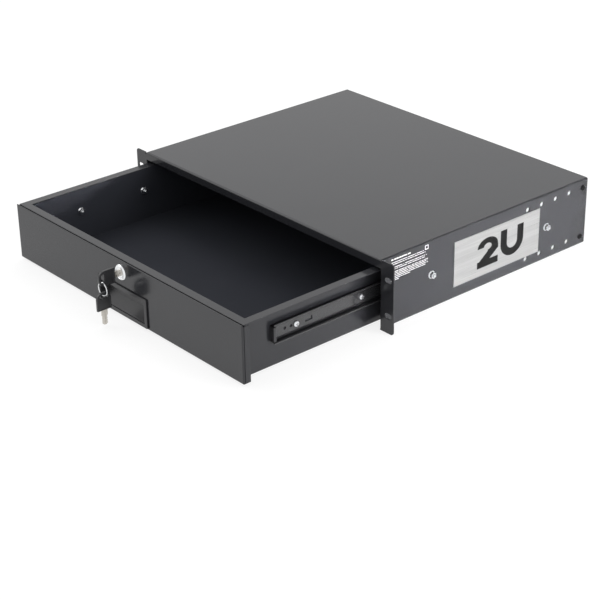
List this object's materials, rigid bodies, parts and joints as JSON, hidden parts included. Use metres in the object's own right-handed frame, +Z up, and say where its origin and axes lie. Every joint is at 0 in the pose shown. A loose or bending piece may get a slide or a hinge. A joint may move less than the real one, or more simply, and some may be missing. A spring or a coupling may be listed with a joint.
{
  "type": "sliding rack drawer",
  "caption": "Lockable steel drawer on ball-bearing slides in a rack-width housing with slotted ears, a recessed pull and a cam lock with keys on a ring.",
  "frame": {"origin": "centre of the four ear slots, on the rear (seating) face of the rack ears", "axes": "+X to the right seen from the front, +Y into the rack, +Z up; the drawer opens along -Y"},
  "size_m": [0.4826, 0.5846, 0.088],
  "materials": {
    "black_powder_coat": "fine semi-gloss black powder coat",
    "black_slide_steel": "gloss black cold-rolled steel",
    "zinc_fastener": "bright zinc plate",
    "black_fastener": "black oxide",
    "chrome_lock": "polished chrome plate",
    "black_plastic": "moulded black plastic, satin",
    "brushed_plate": "brushed along its length",
    "key_steel": "nickel-plated, worn satin",
    "bearing_steel": "polished balls",
    "cage_steel": "plain sheet"
  },
  "bodies": {
    "housing": {"housing_shell": "black_powder_coat", "rear_panel": "black_powder_coat", "rear_panel_screws": "black_fastener", "strike_bracket": "black_powder_coat", "left_cabinet_slide": "black_slide_steel", "right_cabinet_slide": "black_slide_steel", "cabinet_slide_bolts": "zinc_fastener", "cabinet_slide_nuts": "zinc_fastener", "size_plate": "brushed_plate"},
    "drawer": {"drawer_tray": "black_powder_coat", "drawer_front": "black_powder_coat", "left_drawer_slide": "black_slide_steel", "right_drawer_slide": "black_slide_steel", "left_slide_cap": "black_plastic", "right_slide_cap": "black_plastic", "drawer_slide_screws": "zinc_fastener", "drawer_slide_nuts": "zinc_fastener", "recess_pull": "black_plastic", "lock_body": "chrome_lock", "lock_nut": "zinc_fastener"},
    "lock_cylinder": {"lock_plug": "chrome_lock", "lock_wafers": "zinc_fastener", "lock_cam": "zinc_fastener", "cam_screw": "zinc_fastener"},
    "key": {"key_blade": "key_steel", "key_head": "black_plastic"},
    "ring": {"key_ring": "chrome_lock"},
    "spare_key": {"spare_key_blade": "key_steel", "spare_key_head": "black_plastic"},
    "left_bearing": {"left_ball_cage": "cage_steel", "left_balls": "bearing_steel"},
    "right_bearing": {"right_ball_cage": "cage_steel", "right_balls": "bearing_steel"}
  },
  "joints": [
    {"name": "drawer_slide", "type": "slide", "parent": "housing", "child": "drawer", "axis": [0, -1, 0], "range_m": [-0.1985, 0.0265]},
    {"name": "left_bearing_roll", "type": "slide", "parent": "housing", "child": "left_bearing", "axis": [0, -1, 0], "range_m": [-0.0993, 0.0133]},
    {"name": "right_bearing_roll", "type": "slide", "parent": "housing", "child": "right_bearing", "axis": [0, -1, 0], "range_m": [-0.0993, 0.0133]},
    {"name": "lock_turn", "type": "hinge", "parent": "drawer", "child": "lock_cylinder", "pos_m": [0, -0.2, 0.0155], "axis": [0, -1, 0], "range_deg": [0, 90]},
    {"name": "key_withdraw", "type": "slide", "parent": "lock_cylinder", "child": "key", "axis": [0, -1, 0], "range_m": [0, 0.0125]},
    {"name": "ring_hang", "type": "hinge", "parent": "key", "child": "ring", "pos_m": [0, -0.2266, 0.00804], "axis": [0, -1, 0], "range_deg": [-90, 0]},
    {"name": "spare_key_swing", "type": "hinge", "parent": "ring", "child": "spare_key", "pos_m": [0, -0.2266, -0.0053], "axis": [1, 0, 0], "range_deg": [-30, 30]}
  ],
  "couplings": [
    {"joint": "left_bearing_roll", "follows": "drawer_slide", "ratio": 0.5},
    {"joint": "right_bearing_roll", "follows": "drawer_slide", "ratio": 0.5},
    {"joint": "ring_hang", "follows": "lock_turn", "ratio": -1}
  ]
}
